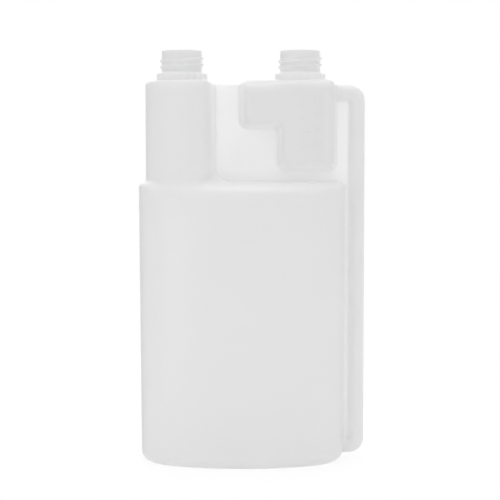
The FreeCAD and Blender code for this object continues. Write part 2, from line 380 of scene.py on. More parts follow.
@dataclass(frozen=True)
class TransferChannel:
    """Narrow tube from the foot of the main chamber up to the measuring chamber."""

    main: MainChamber
    measuring: MeasuringChamber
    gap: float = 2.9 * MM
    width: float = 9.4 * MM
    depth: float = 12.6 * MM
    face_edge: float = 4.4 * MM
    foot: float = 4.3 * MM
    drop: float = 2.85 * MM
    top_bend: float = 10.0 * MM
    foot_bend: float = 9.4 * MM
    inner_bend: float = 1.5 * MM
    reach: float = 10.0 * MM
    reach_edge: float = 2.0 * MM

    @property
    def inner(self) -> float:
        """Side of the tube towards the bottle."""
        return self.main.right + self.gap

    @property
    def ceiling(self) -> float:
        """Height of the tube's top."""
        return self.measuring.top - self.drop

    def distance(self, at: Places) -> Field:
        """Distance from the tube's outer surface."""
        outer = at.x - self.main.whole.right
        over = at.z - self.ceiling
        under = self.foot - at.z
        outside = np.maximum(meet(outer, over, self.top_bend), meet(outer, under, self.foot_bend))
        beside = at.x - self.inner
        window = np.maximum(
            meet(beside, over + self.width, self.inner_bend),
            meet(beside, under + self.width, self.inner_bend),
        )
        start = self.main.right - self.reach - at.x
        tube = np.maximum(outside, -window)
        tube = meet(tube, start, self.reach_edge)
        return meet(tube, np.abs(at.y) - self.depth / 2, self.face_edge)


@dataclass(frozen=True)
class Web:
    """Flat pinched web that joins the chambers in the mould's parting plane."""

    column: FillerColumn
    measuring: MeasuringChamber
    channel: TransferChannel
    drop: float = 2.6 * MM
    thickness: float = 2.2 * MM
    grip: float = 2.0 * MM
    edge: float = 0.8 * MM

    def distance(self, at: Places) -> Field:
        """Distance from the web's faces and edges."""
        top = self.measuring.top - self.drop
        low = self.channel.foot + self.channel.width - self.grip
        below = self.channel.ceiling - self.channel.width / 2
        middle = np.maximum(self.column.right - self.grip - at.x, low - at.z)
        upper = np.maximum(middle, np.maximum(at.z - top, at.x - self.measuring.right + self.grip))
        lower = np.maximum(middle, np.maximum(at.z - below, at.x - self.channel.inner - self.grip))
        plate = np.minimum(upper, lower)
        return meet(plate, np.abs(at.y) - self.thickness / 2, self.edge)


@dataclass(frozen=True)
class Wall:
    """The bottle's wall: its outer form, and the hollow inside it."""

    main: MainChamber
    column: FillerColumn
    measuring: MeasuringChamber
    channel: TransferChannel
    web: Web
    thickness: float = 0.9 * MM
    base: float = 2.6 * MM
    base_inner_edge: float = 4.0 * MM
    channel_fillet: float = 0.8 * MM
    web_fillet: float = 1.25 * MM
    recess_edge: float = 0.8 * MM
    seam_dip: float = 0.09 * MM
    seam_offset: float = 0.4 * MM
    seam_width: float = 0.16 * MM
    scar_fillet: float = 0.5 * MM

    def seam(self, at: Places) -> Field:
        """How far the skin dips beside the mould's parting line, which is left standing."""
        return self.seam_dip * np.exp(-(((np.abs(at.y) - self.seam_offset) / self.seam_width) ** 2))

    def volumes(self, at: Places) -> Field:
        """Distance from the chambers and the channel, joined and without the web."""
        main = self.main.distance(at)
        tall = join(main, self.column.distance(at), self.column.fillet(at))
        channelled = join(self.measuring.distance(at), self.channel.distance(at), self.channel_fillet)
        return join(tall, channelled, self.channel_fillet)

    def outer(self, at: Places) -> Field:
        """Distance from the bottle's outer surface, without the necks."""
        joined = join(self.volumes(at), self.web.distance(at), self.web_fillet)
        hollowed = meet(joined, -self.main.recess(at), self.recess_edge)
        return join(hollowed, self.main.scar(at), self.scar_fillet) + self.seam(at)

    def inner(self, at: Places) -> Field:
        """Distance from the surface of the hollow."""
        return meet(self.volumes(at) + self.thickness, self.base - at.z, self.base_inner_edge)


def divide(start: float, runs: Runs) -> Field:
    """Positions of a grid's planes along one axis.

    Args:
        start: where the first stretch begins, in millimetres.
        runs: for each stretch, where it ends and about how far its planes lie apart.

    Returns:
        Positions from the start to the end of the last stretch, in metres.
    """
    start *= MM
    planes = [np.array([start])]
    for end, pitch in runs:
        count = max(1, round((end * MM - start) / (pitch * MM)))
        planes.append(np.linspace(start, end * MM, count + 1)[1:])
        start = end * MM
    return np.concatenate(planes)


@dataclass(frozen=True)
class Grid:
    """Grid on which a surface is laid, finer where the surface bends more.

    Args:
        x_start: where it begins along X, in millimetres.
        x_runs: its stretches along X.
        y_runs: its stretches from the parting plane to the back, the same to the front.
        z_start: where it begins along Z, in millimetres.
        z_runs: its stretches along Z.
    """

    x_start: float
    x_runs: Runs
    y_runs: Runs
    z_start: float
    z_runs: Runs

    def planes(self) -> tuple[Field, Field, Field]:
        """Planes along all three axes."""
        half = divide(0.0, self.y_runs)
        both = np.concatenate([-half[:0:-1], half])
        return divide(self.x_start, self.x_runs), both, divide(self.z_start, self.z_runs)


OUTER_GRID = Grid(
    x_start=-72.0,
    x_runs=(
        (-56, 1.0), (-30, 2.2), (-8, 0.9), (0, 0.85), (12, 2.0), (21, 0.85), (44, 2.2), (72, 0.85),
    ),
    y_runs=((0.6, 0.2), (7.2, 0.65), (14.0, 1.6), (20.6, 0.85), (30.0, 1.5), (39.0, 1.0)),
    z_start=-1.0,
    z_runs=(
        (8, 0.9), (20, 3.0), (160, 10.0), (167, 2.0), (187, 0.85), (203, 1.8), (213, 0.85),
        (223, 1.7), (237.4, 0.8),
    ),
)
INNER_GRID = Grid(
    x_start=-71.0,
    x_runs=(
        (-56, 1.4), (-30, 4.0), (-20, 1.3), (-8, 2.0), (0, 1.2), (12, 3.5), (21, 1.2), (44, 4.0),
        (71, 1.15),
    ),
    y_runs=((6.6, 1.1), (14.0, 2.4), (19.5, 1.3), (30.0, 2.2), (38.0, 1.4)),
    z_start=1.0,
    z_runs=(
        (10, 1.3), (20, 4.0), (160, 14.0), (166, 3.0), (186, 1.3), (203, 3.0), (213, 1.2),
        (223, 2.5), (236.4, 1.2),
    ),
)


class Skin:
    """A mesh of quads laid over the zero surface of a distance field."""

    # A cell's corners, the first axis counting fastest, and the pairs of them that its edges join
    corners = tuple((i, j, k) for k in (0, 1) for j in (0, 1) for i in (0, 1))
    edges = tuple(
        (first, first + (1 << axis))
        for axis in range(3) for first in range(8) if not first >> axis & 1
    )
    evening: float = 0.5
    settle_steps: int = 4
    least_steep: float = 0.05

    def __init__(self, form: Form, grid: Grid) -> None:
        """Lay the mesh.

        Args:
            form: function from places to distances.
            grid: the grid whose cells get the mesh's points.
        """
        self.form = form
        planes = grid.planes()
        values = form(Places(*np.meshgrid(*planes, indexing="ij")))
        self.points, ids = self._place(values, planes)
        self.quads = self._connect(values, ids)
        self._even_out()
        self._settle()

    def _place(self, values: Field, planes: tuple[Field, Field, Field]) -> tuple[Field, Field]:
        """Put one point in each cell that the surface crosses.

        Args:
            values: distances at the grid's corners.
            planes: positions of the planes along each axis.

        Returns:
            The points, and each cell's point number or -1.
        """
        shape = tuple(n - 1 for n in values.shape)
        inside = values < 0
        around = [
            inside[i:i + shape[0], j:j + shape[1], k:k + shape[2]] for i, j, k in self.corners
        ]
        count = sum(corner.astype(np.int8) for corner in around)
        cells = np.argwhere((count > 0) & (count < 8))
        held = []
        for offset in self.corners:
            index = cells + offset
            place = np.stack([planes[axis][index[:, axis]] for axis in range(3)], axis=1)
            held.append((place, values[index[:, 0], index[:, 1], index[:, 2]]))
        total = np.zeros((len(cells), 3))
        crossings = np.zeros(len(cells))
        for first, second in self.edges:
            (start, low), (end, high) = held[first], held[second]
            crosses = (low < 0) != (high < 0)
            gap = np.where(crosses, low - high, 1.0)
            part = np.where(crosses, low / gap, 0.0)
            total += np.where(crosses[:, None], start + part[:, None] * (end - start), 0.0)
            crossings += crosses
        ids = np.full(shape, -1)
        ids[tuple(cells.T)] = np.arange(len(cells))
        return total / crossings[:, None], ids

    def _connect(self, values: Field, ids: Field) -> Field:
        """Join the points of the four cells round each grid edge that the surface crosses.

        Args:
            values: distances at the grid's corners.
            ids: each cell's point number or -1.

        Returns:
            Quads that face outwards, as rows of point numbers.
        """
        inside = values < 0
        quads = []
        for axis in range(3):
            following = [slice(None)] * 3
            leading = [slice(None)] * 3
            following[axis] = slice(1, None)
            leading[axis] = slice(None, -1)
            leaves = inside[tuple(leading)] & ~inside[tuple(following)]
            enters = ~inside[tuple(leading)] & inside[tuple(following)]
            second, third = (axis + 1) % 3, (axis + 2) % 3
            for mask, outward in ((leaves, True), (enters, False)):
                at = np.argwhere(mask)
                ring = []
                for across, up in ((1, 1), (0, 1), (0, 0), (1, 0)):
                    cell = at.copy()
                    cell[:, second] -= across
                    cell[:, third] -= up
                    ring.append(ids[tuple(cell.T)])
                if not outward:
                    ring.reverse()
                quads.append(np.stack(ring, axis=1))
        return np.concatenate(quads)

    def _even_out(self) -> None:
        """Move the points part of the way to the middle of their neighbours."""
        count = len(self.points)
        starts = self.quads.ravel()
        ends = np.roll(self.quads, -1, axis=1).ravel()
        weight = np.bincount(starts, minlength=count) + np.bincount(ends, minlength=count)
        middle = np.empty_like(self.points)
        for axis in range(3):
            along = self.points[:, axis]
            ahead = np.bincount(starts, along[ends], count)
            behind = np.bincount(ends, along[starts], count)
            middle[:, axis] = (ahead + behind) / weight
        self.points += self.evening * (middle - self.points)

    def _settle(self) -> None:
        """Move the points onto the surface."""
        for _ in range(self.settle_steps):
            distance, gradient = slope(self.form, self.points)
            steep = np.maximum((gradient**2).sum(axis=1), self.least_steep)
            self.points -= gradient * (distance / steep)[:, None]

    def mesh(self, name: str) -> bpy.types.Mesh:
        """Blender mesh of the skin."""
        mesh = bpy.data.meshes.new(name)
        mesh.from_pydata(self.points.tolist(), [], self.quads.tolist())
        mesh.update()
        return mesh


class Cut(Enum):
    """What a Boolean does with a second solid."""

    ADD = "UNION"
    TAKE = "DIFFERENCE"


def link(name: str, mesh: bpy.types.Mesh) -> bpy.types.Object:
    """Put a mesh in the scene as an object at the origin."""
    thing = bpy.data.objects.new(name, mesh)
    bpy.context.scene.collection.objects.link(thing)
    return thing


def settle_modifiers(thing: bpy.types.Object) -> None:
    """Turn an object's modifiers into its plain mesh."""
    evaluated = thing.evaluated_get(bpy.context.evaluated_depsgraph_get())
    mesh = bpy.data.meshes.new_from_object(evaluated)
    thing.modifiers.clear()
    before = thing.data
    thing.data = mesh
    bpy.data.meshes.remove(before)
    mesh.name = thing.name


def carve(base: bpy.types.Object, tool: bpy.types.Object, cut: Cut) -> None:
    """Add a closed solid to another, or take it away, and drop it.

    Args:
        base: the solid that changes.
        tool: the solid that is added or taken away.
        cut: which of the two.
    """
    modifier = base.modifiers.new(cut.name, "BOOLEAN")
    modifier.operation = cut.value
    modifier.solver = "MANIFOLD"
    modifier.object = tool
    settle_modifiers(base)
    LOG.info("%s %s: %d faces", cut.name.lower(), tool.name, len(base.data.polygons))
    bpy.data.objects.remove(tool)


class Recipe:
    """A Geometry Nodes tree whose result becomes a plain mesh."""

    def __init__(self, name: str, sizes: dict[str, float]) -> None:
        """Start the tree.

        Args:
            name: name of the piece that the tree makes.
            sizes: named inputs and their values.
        """
        self.name = name
        self.sizes = sizes
        self.tree = bpy.data.node_groups.new(name, "GeometryNodeTree")
        for size in sizes:
            self.tree.interface.new_socket(size, in_out="INPUT", socket_type="NodeSocketFloat")
        self.tree.interface.new_socket(
            "Geometry", in_out="OUTPUT", socket_type="NodeSocketGeometry"
        )
        self.inputs = self.tree.nodes.new("NodeGroupInput")
        self.graph = Graph(self.tree)

    def size(self, name: str) -> "Wire":
        """A named input, for use in expressions."""
        return Wire(self.graph, self.inputs.outputs[name])

    def node(self, kind: str, settings: dict[str, Any], sockets: dict[str | int, Any]) -> "Wire":
        """Add a node to the tree, as Graph.node does."""
        return self.graph.node(kind, settings, sockets)

    def vector(self, x: Any = 0.0, y: Any = 0.0, z: Any = 0.0) -> "Wire":
        """A vector of three values."""
        return self.node("ShaderNodeCombineXYZ", {}, {0: x, 1: y, 2: z})

    def quad(self, *corners: "Wire") -> "Wire":
        """An outline of four corners."""
        points = {f"Point {number}": corner for number, corner in enumerate(corners, 1)}
        return self.node("GeometryNodeCurvePrimitiveQuadrilateral", {"mode": "POINTS"}, points)

    def rounded(self, outline: "Wire", radius: "Wire", steps: int = 2) -> "Wire":
        """An outline with its corners rounded in a few steps."""
        return self.node("GeometryNodeFilletCurve", {"mode": "POLY"}, {
            "Curve": outline, "Count": steps, "Radius": radius, "Limit Radius": True})

    def bar(self, path: "Wire", outline: "Wire") -> "Wire":
        """A closed bar: an outline that follows a path, with its ends filled."""
        return self.node(
            "GeometryNodeCurveToMesh",
            {},
            {"Curve": path, "Profile Curve": outline, "Fill Caps": True},
        )

    def bake(self, geometry: "Wire", material: bpy.types.Material) -> bpy.types.Object:
        """End the tree, run it and keep its result as a plain mesh.

        Args:
            geometry: what the tree gives.
            material: material of all its faces.

        Returns:
            The piece, with no modifier left on it.
        """
        real = self.node("GeometryNodeRealizeInstances", {}, {0: geometry})
        dressed = self.node(
            "GeometryNodeSetMaterial", {}, {"Geometry": real, "Material": material}
        )
        end = self.tree.nodes.new("NodeGroupOutput")
        self.tree.links.new(dressed.socket, end.inputs[0])
        piece = link(self.name, bpy.data.meshes.new(self.name))
        modifier = piece.modifiers.new(self.name, "NODES")
        modifier.node_group = self.tree
        for item in self.tree.interface.items_tree:
            if item.in_out == "INPUT":
                modifier[item.identifier] = float(self.sizes[item.name])
        settle_modifiers(piece)
        weld(piece.data)
        return piece


@contextmanager
def editing(mesh: bpy.types.Mesh) -> Iterator[bmesh.types.BMesh]:
    """A mesh opened for editing, and written back afterwards."""
    shape = bmesh.new()
    shape.from_mesh(mesh)
    yield shape
    shape.to_mesh(mesh)
    shape.free()


def weld(mesh: bpy.types.Mesh, nearest: float = 0.001 * MM) -> None:
    """Merge a mesh's doubles and turn its faces outwards."""
    with editing(mesh) as shape:
        bmesh.ops.remove_doubles(shape, verts=shape.verts, dist=nearest)
        bmesh.ops.recalc_face_normals(shape, faces=shape.faces)


def drop_slivers(mesh: bpy.types.Mesh, narrowest: float = 0.002 * MM) -> None:
    """Take out the faces that the Booleans left with no width."""
    with editing(mesh) as shape:
        bmesh.ops.dissolve_degenerate(shape, edges=shape.edges, dist=narrowest)


class Wire:
    """The value of a node socket, for use in expressions."""

    def __init__(self, graph: "Graph", socket: bpy.types.NodeSocket) -> None:
        """Wrap an output socket of a node in a graph."""
        self.graph = graph
        self.socket = socket

    def _math(self, operation: str, first: Any, second: Any) -> "Wire":
        """Add a Math node."""
        return self.graph.node("ShaderNodeMath", {"operation": operation}, {0: first, 1: second})

    def __add__(self, other: Any) -> "Wire":
        """Sum."""
        return self._math("ADD", self, other)

    __radd__ = __add__

    def __sub__(self, other: Any) -> "Wire":
        """Difference."""
        return self._math("SUBTRACT", self, other)

    def __rsub__(self, other: Any) -> "Wire":
        """Difference from a number."""
        return self._math("SUBTRACT", other, self)

    def __mul__(self, other: Any) -> "Wire":
        """Product."""
        return self._math("MULTIPLY", self, other)

    def __truediv__(self, other: Any) -> "Wire":
        """Quotient."""
        return self._math("DIVIDE", self, other)

    def __pow__(self, other: Any) -> "Wire":
        """Power."""
        return self._math("POWER", self, other)

    def at_least(self, other: Any) -> "Wire":
        """The value, or the other one where that is more."""
        return self._math("MAXIMUM", self, other)

    def toward(self, other: Any, part: "Wire") -> "Wire":
        """The value, moved by a part of the way to another one."""
        return self + (other - self) * part


class Graph:
    """A node tree of either kind, built by expressions."""

    def __init__(self, tree: bpy.types.NodeTree) -> None:
        """Work in a tree."""
        self.tree = tree

    def node(
        self,
        kind: str,
        settings: dict[str, Any],
        sockets: dict[str | int, Any],
        output: str | int = 0,
    ) -> Wire:
        """Add a node.

        Args:
            kind: the node's type.
            settings: its own settings, set first.
            sockets: values or wires for its inputs, by name or number.
            output: the output that the result stands for.

        Returns:
            The output's wire.
        """
        made = self.tree.nodes.new(kind)
        for name, value in settings.items():
            setattr(made, name, value)
        for name, value in sockets.items():
            if isinstance(value, Wire):
                self.tree.links.new(value.socket, made.inputs[name])
            else:
                made.inputs[name].default_value = value
        return Wire(self, made.outputs[output])

    def attribute(self, name: str) -> Wire:
        """A number kept on the piece's points."""
        return self.node("ShaderNodeAttribute", {"attribute_name": name}, {}, "Fac")

    def mix(self, part: Wire, first: Any, second: Any) -> Wire:
        """Mix two colours.

        Args:
            part: how much of the second colour.
            first: a colour or a wire.
            second: a colour or a wire.

        Returns:
            The mixed colour's wire.
        """
        return self.node("ShaderNodeMix", {"data_type": "RGBA"}, {0: part, 6: first, 7: second}, 2)

    def finish(self, kind: str, sockets: dict[str, Wire]) -> None:
        """Add the tree's output node.

        Args:
            kind: the output node's type.
            sockets: wires for its inputs, by name.
        """
        end = self.tree.nodes.new(kind)
        for name, wire in sockets.items():
            self.tree.links.new(wire.socket, end.inputs[name])


@dataclass(frozen=True)
class Bend:
    """A corner of a lathe profile.

    Args:
        radius: distance from the axis.
        height: height of the corner.
        rounding: radius of the rounded corner.
    """

    radius: float
    height: float
    rounding: float = 0.0


@dataclass(frozen=True)
class Lathe:
    """A solid of revolution round an upright axis.

    Args:
        axis: the axis's place along X.
        profile: corners from the lowest point of the axis to its highest.
        segments: how many faces go round.
        steps: how many faces a rounded corner has.
    """

    axis: float
    profile: tuple[Bend, ...]
    segments: int = 120
    steps: int = 4

    def outline(self) -> list[tuple[float, float]]:
        """Points of the profile with its corners rounded."""
        points = [(self.profile[0].radius, self.profile[0].height)]
        for before, here, after in zip(self.profile, self.profile[1:], self.profile[2:]):
            corner = Vector((here.radius, here.height))
            back = (Vector((before.radius, before.height)) - corner).normalized()
            ahead = (Vector((after.radius, after.height)) - corner).normalized()
            if here.rounding == 0.0:
                points.append(tuple(corner))
                continue
            half = back.angle(ahead) / 2
            reach = here.rounding / math.tan(half)
            centre = corner + (back + ahead).normalized() * here.rounding / math.sin(half)
            start = corner + back * reach - centre
            end = corner + ahead * reach - centre
            for step in range(self.steps + 1):
                part = step / self.steps
                spoke = (start * (1 - part) + end * part).normalized() * here.rounding
                points.append(tuple(centre + spoke))
        points.append((self.profile[-1].radius, self.profile[-1].height))
        return points

    def add_to(self, shape: bmesh.types.BMesh) -> None:
        """Add the solid to a mesh under construction."""
        outline = self.outline()
        low = shape.verts.new((self.axis, 0.0, outline[0][1]))
        high = shape.verts.new((self.axis, 0.0, outline[-1][1]))
        rings = []
        for radius, height in outline[1:-1]:
            ring = []
            for segment in range(self.segments):
                turn = math.tau * segment / self.segments
                place = (self.axis + radius * math.cos(turn), radius * math.sin(turn), height)
                ring.append(shape.verts.new(place))
            rings.append(ring)
        for segment in range(self.segments):
            after = (segment + 1) % self.segments
            shape.faces.new((low, rings[0][after], rings[0][segment]))
            shape.faces.new((high, rings[-1][segment], rings[-1][after]))
            for lower, upper in zip(rings, rings[1:]):
                shape.faces.new((lower[segment], lower[after], upper[after], upper[segment]))


def turn(name: str, lathes: list[Lathe]) -> bpy.types.Object:
    """Make one piece of several lathe solids that stand apart."""
    mesh = bpy.data.meshes.new(name)
    with editing(mesh) as shape:
        for lathe in lathes:
            lathe.add_to(shape)
    return link(name, mesh)


@dataclass(frozen=True)
class NeckFinish:
    """Open neck with a rim, a ratchet ring and a right-hand thread, the same on both chambers.

    The thread climbs round the neck and runs out at its ends. Its upper flank slopes, and its
    lower one lies nearly level.
    """

    whole: Overall
    measuring: MeasuringChamber
    radius: float = 12.4 * MM
    rim_edge: float = 0.35 * MM
    mouth_edge: float = 0.35 * MM
    ring_radius: float = 15.5 * MM
    ring_rise: float = 4.0 * MM
    ring_edge: float = 0.5 * MM
    collar: float = 1.2 * MM
    collar_foot: float = 0.15 * MM
    collar_edge: float = 0.6 * MM
    root: float = 0.5 * MM
    plug_reach: float = 6.0 * MM
    beyond: float = 1.0 * MM
    pitch: float = 3.8 * MM
    thread_depth: float = 1.3 * MM
    thread_root: float = 2.4 * MM
    thread_crest: float = 0.4 * MM
    thread_low: float = -0.8 * MM
    thread_tip: float = -0.55 * MM
    thread_edge: float = 0.2 * MM
    thread_turns: float = 1.55
    thread_rise: float = 7.6 * MM
    thread_angle: float = 165.0
    thread_steps: int = 72
    thread_sink: float = 0.1 * MM
    thread_end: float = 0.07
    thread_least: float = 0.2
    notch_count: int = 5
    notch_first: float = 13.0
    notch_spacing: float = 17.0
    notch_depth: float = 1.0 * MM
    notch_width: float = 1.7 * MM
    notch_slant: float = 2.2

    def barrel(self, axis: float, top: float) -> Lathe:
        """Outside of the neck above a chamber's top."""
        ring = self.measuring.top + self.ring_rise
        rim = self.whole.rim
        return Lathe(axis, (
            Bend(0.0, top - self.root),
            Bend(self.ring_radius, top - self.root),
            Bend(self.ring_radius, ring, self.ring_edge),
            Bend(self.radius + self.collar, ring, self.collar_foot),
            Bend(self.radius, ring + self.collar, self.collar_edge),
            Bend(self.radius, rim, self.rim_edge),
            Bend(0.0, rim),
        ))

    def plug(self, axis: float, top: float) -> Lathe:
        """What is taken away for the bore, flared at the mouth."""
        rim = self.whole.rim
        bore = self.whole.bore
        flare = self.mouth_edge
        return Lathe(axis, (
            Bend(0.0, top - self.plug_reach),
            Bend(bore, top - self.plug_reach),
            Bend(bore, rim - flare, flare),
            Bend(bore + flare + self.beyond, rim + self.beyond),
            Bend(0.0, rim + self.beyond),
        ))

    def thread(self, name: str, axis: float, material: bpy.types.Material) -> bpy.types.Object:
        """Thread on one neck."""
        recipe = Recipe(name, {
            "Radius": self.radius,
            "Pitch": self.pitch,
            "Turns": self.thread_turns,
            "Depth": self.thread_depth,
            "Sink": self.thread_sink,
            "Root": self.thread_root,
            "Crest": self.thread_crest,
            "Low": self.thread_low,
            "Tip": self.thread_tip,
            "Edge": self.thread_edge,
            "Start": math.radians(self.thread_angle),
            "Axis": axis,
            "Height": self.measuring.top + self.thread_rise,
        })
        radius = recipe.size("Radius") - recipe.size("Sink")
        path = recipe.node("GeometryNodeCurveSpiral", {}, {
            "Resolution": self.thread_steps,
            "Rotations": recipe.size("Turns"),
            "Start Radius": radius,
            "End Radius": radius,
            "Height": recipe.size("Pitch") * recipe.size("Turns"),
            "Reverse": True,
        })
        path = recipe.node("GeometryNodeSetCurveNormal", {"mode": "Z_UP"}, {"Curve": path})
        place = recipe.node("GeometryNodeSplineParameter", {}, {})
        swell = 1.0
        for low, high, start, end in (
            (0.0, self.thread_end, self.thread_least, 1.0),
            (1.0 - self.thread_end, 1.0, 1.0, self.thread_least),
        ):
            swell = recipe.node("ShaderNodeMapRange", {"interpolation_type": "SMOOTHSTEP"}, {
                "Value": place, "From Min": low, "From Max": high, "To Min": start, "To Max": end,
            }) * swell
        path = recipe.node("GeometryNodeSetCurveRadius", {}, {"Curve": path, "Radius": swell})
        root = recipe.size("Sink") * -1.0
        outline = recipe.quad(
            recipe.vector(x=root, y=recipe.size("Low")),
            recipe.vector(x=recipe.size("Depth"), y=recipe.size("Tip")),
            recipe.vector(x=recipe.size("Depth"), y=recipe.size("Tip") + recipe.size("Crest")),
            recipe.vector(x=root, y=recipe.size("Low") + recipe.size("Root")),
        )
        ridge = recipe.bar(path, recipe.rounded(outline, recipe.size("Edge")))
        ridge = recipe.node("GeometryNodeTransform", {}, {
            "Geometry": ridge,
            "Translation": recipe.vector(x=recipe.size("Axis"), z=recipe.size("Height")),
            "Rotation": recipe.vector(z=recipe.size("Start")),
        })
        return recipe.bake(ridge, material)

    def notches(
        self, name: str, axis: float, top: float, material: bpy.types.Material
    ) -> bpy.types.Object:
        """Saw-tooth notches round one ratchet ring, in two opposed groups, to take away."""
        recipe = Recipe(name, {
            "Ring": self.ring_radius,
            "Beyond": self.beyond,
            "Depth": self.notch_depth,
            "Width": self.notch_width,
            "Slant": self.notch_slant,
            "First": math.radians(self.notch_first - 90.0),
            "Spacing": math.radians(self.notch_spacing),
            "Axis": axis,
            "Low": top + self.ring_edge,
            "High": self.whole.rim,
        })
        ring = recipe.size("Ring")
        outside = ring + recipe.size("Beyond")
        outline = recipe.quad(
            recipe.vector(x=ring - recipe.size("Depth")),
            recipe.vector(x=outside),
            recipe.vector(x=outside, y=recipe.size("Width") * recipe.size("Slant")),
            recipe.vector(x=ring, y=recipe.size("Width")),
        )
        path = recipe.node("GeometryNodeCurvePrimitiveLine", {"mode": "POINTS"}, {
            "Start": recipe.vector(z=recipe.size("Low")),
            "End": recipe.vector(z=recipe.size("High")),
        })
        index = recipe.node("GeometryNodeInputIndex", {}, {})
        group = recipe.bar(path, outline)
        for count, spacing in (
            (self.notch_count, recipe.size("First") + index * recipe.size("Spacing")),
            (2, index * math.pi),
        ):
            points = recipe.node("GeometryNodePoints", {}, {"Count": count})
            group = recipe.node("GeometryNodeInstanceOnPoints", {}, {
                "Points": points, "Instance": group, "Rotation": recipe.vector(z=spacing)})
        group = recipe.node("GeometryNodeTransform", {}, {
            "Geometry": group, "Translation": recipe.vector(x=recipe.size("Axis"))})
        return recipe.bake(group, material)


@dataclass(frozen=True)
class Graduations:
    """Ticks and plain numbers moulded in relief on the front of the measuring leg."""

    measuring: MeasuringChamber
    relief: float = 0.35 * MM
    sink: float = 0.5 * MM
    height: float = 0.8 * MM
    length: float = 5.0 * MM
    offset: float = 14.3 * MM
    drop: float = 14.3 * MM
    spacing: float = 8.9 * MM
    count: int = 5
    edge: float = 0.2 * MM
    figure_height: float = 4.6 * MM
    capital_share: float = 0.72
    figure_steps: int = 4
    figure_gap: float = 1.6 * MM
    figure_step: int = 10

    def ticks(self, material: bpy.types.Material) -> bpy.types.Object:
        """Ticks, one below the other."""
        leg = self.measuring
        recipe = Recipe("graduation_ticks", {
            "Left": leg.leg_left + self.offset,
            "Front": leg.half,
            "Top": leg.top - self.drop,
            "Relief": self.relief,
            "Sink": self.sink,
            "Height": self.height,
            "Length": self.length,
            "Spacing": self.spacing,
            "Edge": self.edge,
        })
        outline = recipe.node("GeometryNodeCurvePrimitiveQuadrilateral", {"mode": "RECTANGLE"}, {
            "Width": recipe.size("Relief") + recipe.size("Sink"), "Height": recipe.size("Height")})
        path = recipe.node("GeometryNodeCurvePrimitiveLine", {"mode": "POINTS"}, {
            "End": recipe.vector(x=recipe.size("Length"))})
        path = recipe.node("GeometryNodeSetCurveNormal", {"mode": "Z_UP"}, {"Curve": path})
        mark = recipe.bar(path, recipe.rounded(outline, recipe.size("Edge")))
        index = recipe.node("GeometryNodeInputIndex", {}, {})
        middle = (recipe.size("Sink") - recipe.size("Relief")) / 2 - recipe.size("Front")
        points = recipe.node("GeometryNodePoints", {}, {
            "Count": self.count,
            "Position": recipe.vector(
                x=recipe.size("Left"),
                y=middle,
                z=recipe.size("Top") - index * recipe.size("Spacing") + recipe.size("Height") / 2,
            ),
        })
        marks = recipe.node("GeometryNodeInstanceOnPoints", {}, {"Points": points, "Instance": mark})
        return recipe.bake(marks, material)

    def figure(self, row: int) -> bpy.types.Mesh:
        """The number beside one tick, counted from the top."""
        words = bpy.data.curves.new("figure", "FONT")
        words.body = str((self.count - row) * self.figure_step)
        words.size = self.figure_height / self.capital_share
        words.extrude = (self.relief + self.sink) / 2
        words.resolution_u = self.figure_steps
        carrier = bpy.data.objects.new("figure", words)
        bpy.context.scene.collection.objects.link(carrier)
        flat = bpy.data.meshes.new_from_object(
            carrier.evaluated_get(bpy.context.evaluated_depsgraph_get())
        )
        bpy.data.objects.remove(carrier)
        bpy.data.curves.remove(words)
        weld(flat)
        place = Matrix.Translation((
            self.measuring.leg_left + self.offset + self.length + self.figure_gap,
            -self.measuring.half + (self.sink - self.relief) / 2,
            self.measuring.top - self.drop - row * self.spacing,
        ))
        flat.transform(place @ Matrix.Rotation(math.pi / 2, 4, "X"))
        return flat

    def figures(self) -> bpy.types.Object:
        """Numbers beside the ticks, in steps of ten from the lowest."""
        mesh = bpy.data.meshes.new("graduation_figures")
        with editing(mesh) as shape:
            for row in range(self.count):
                flat = self.figure(row)
                shape.from_mesh(flat)
                bpy.data.meshes.remove(flat)
        return link("graduation_figures", mesh)


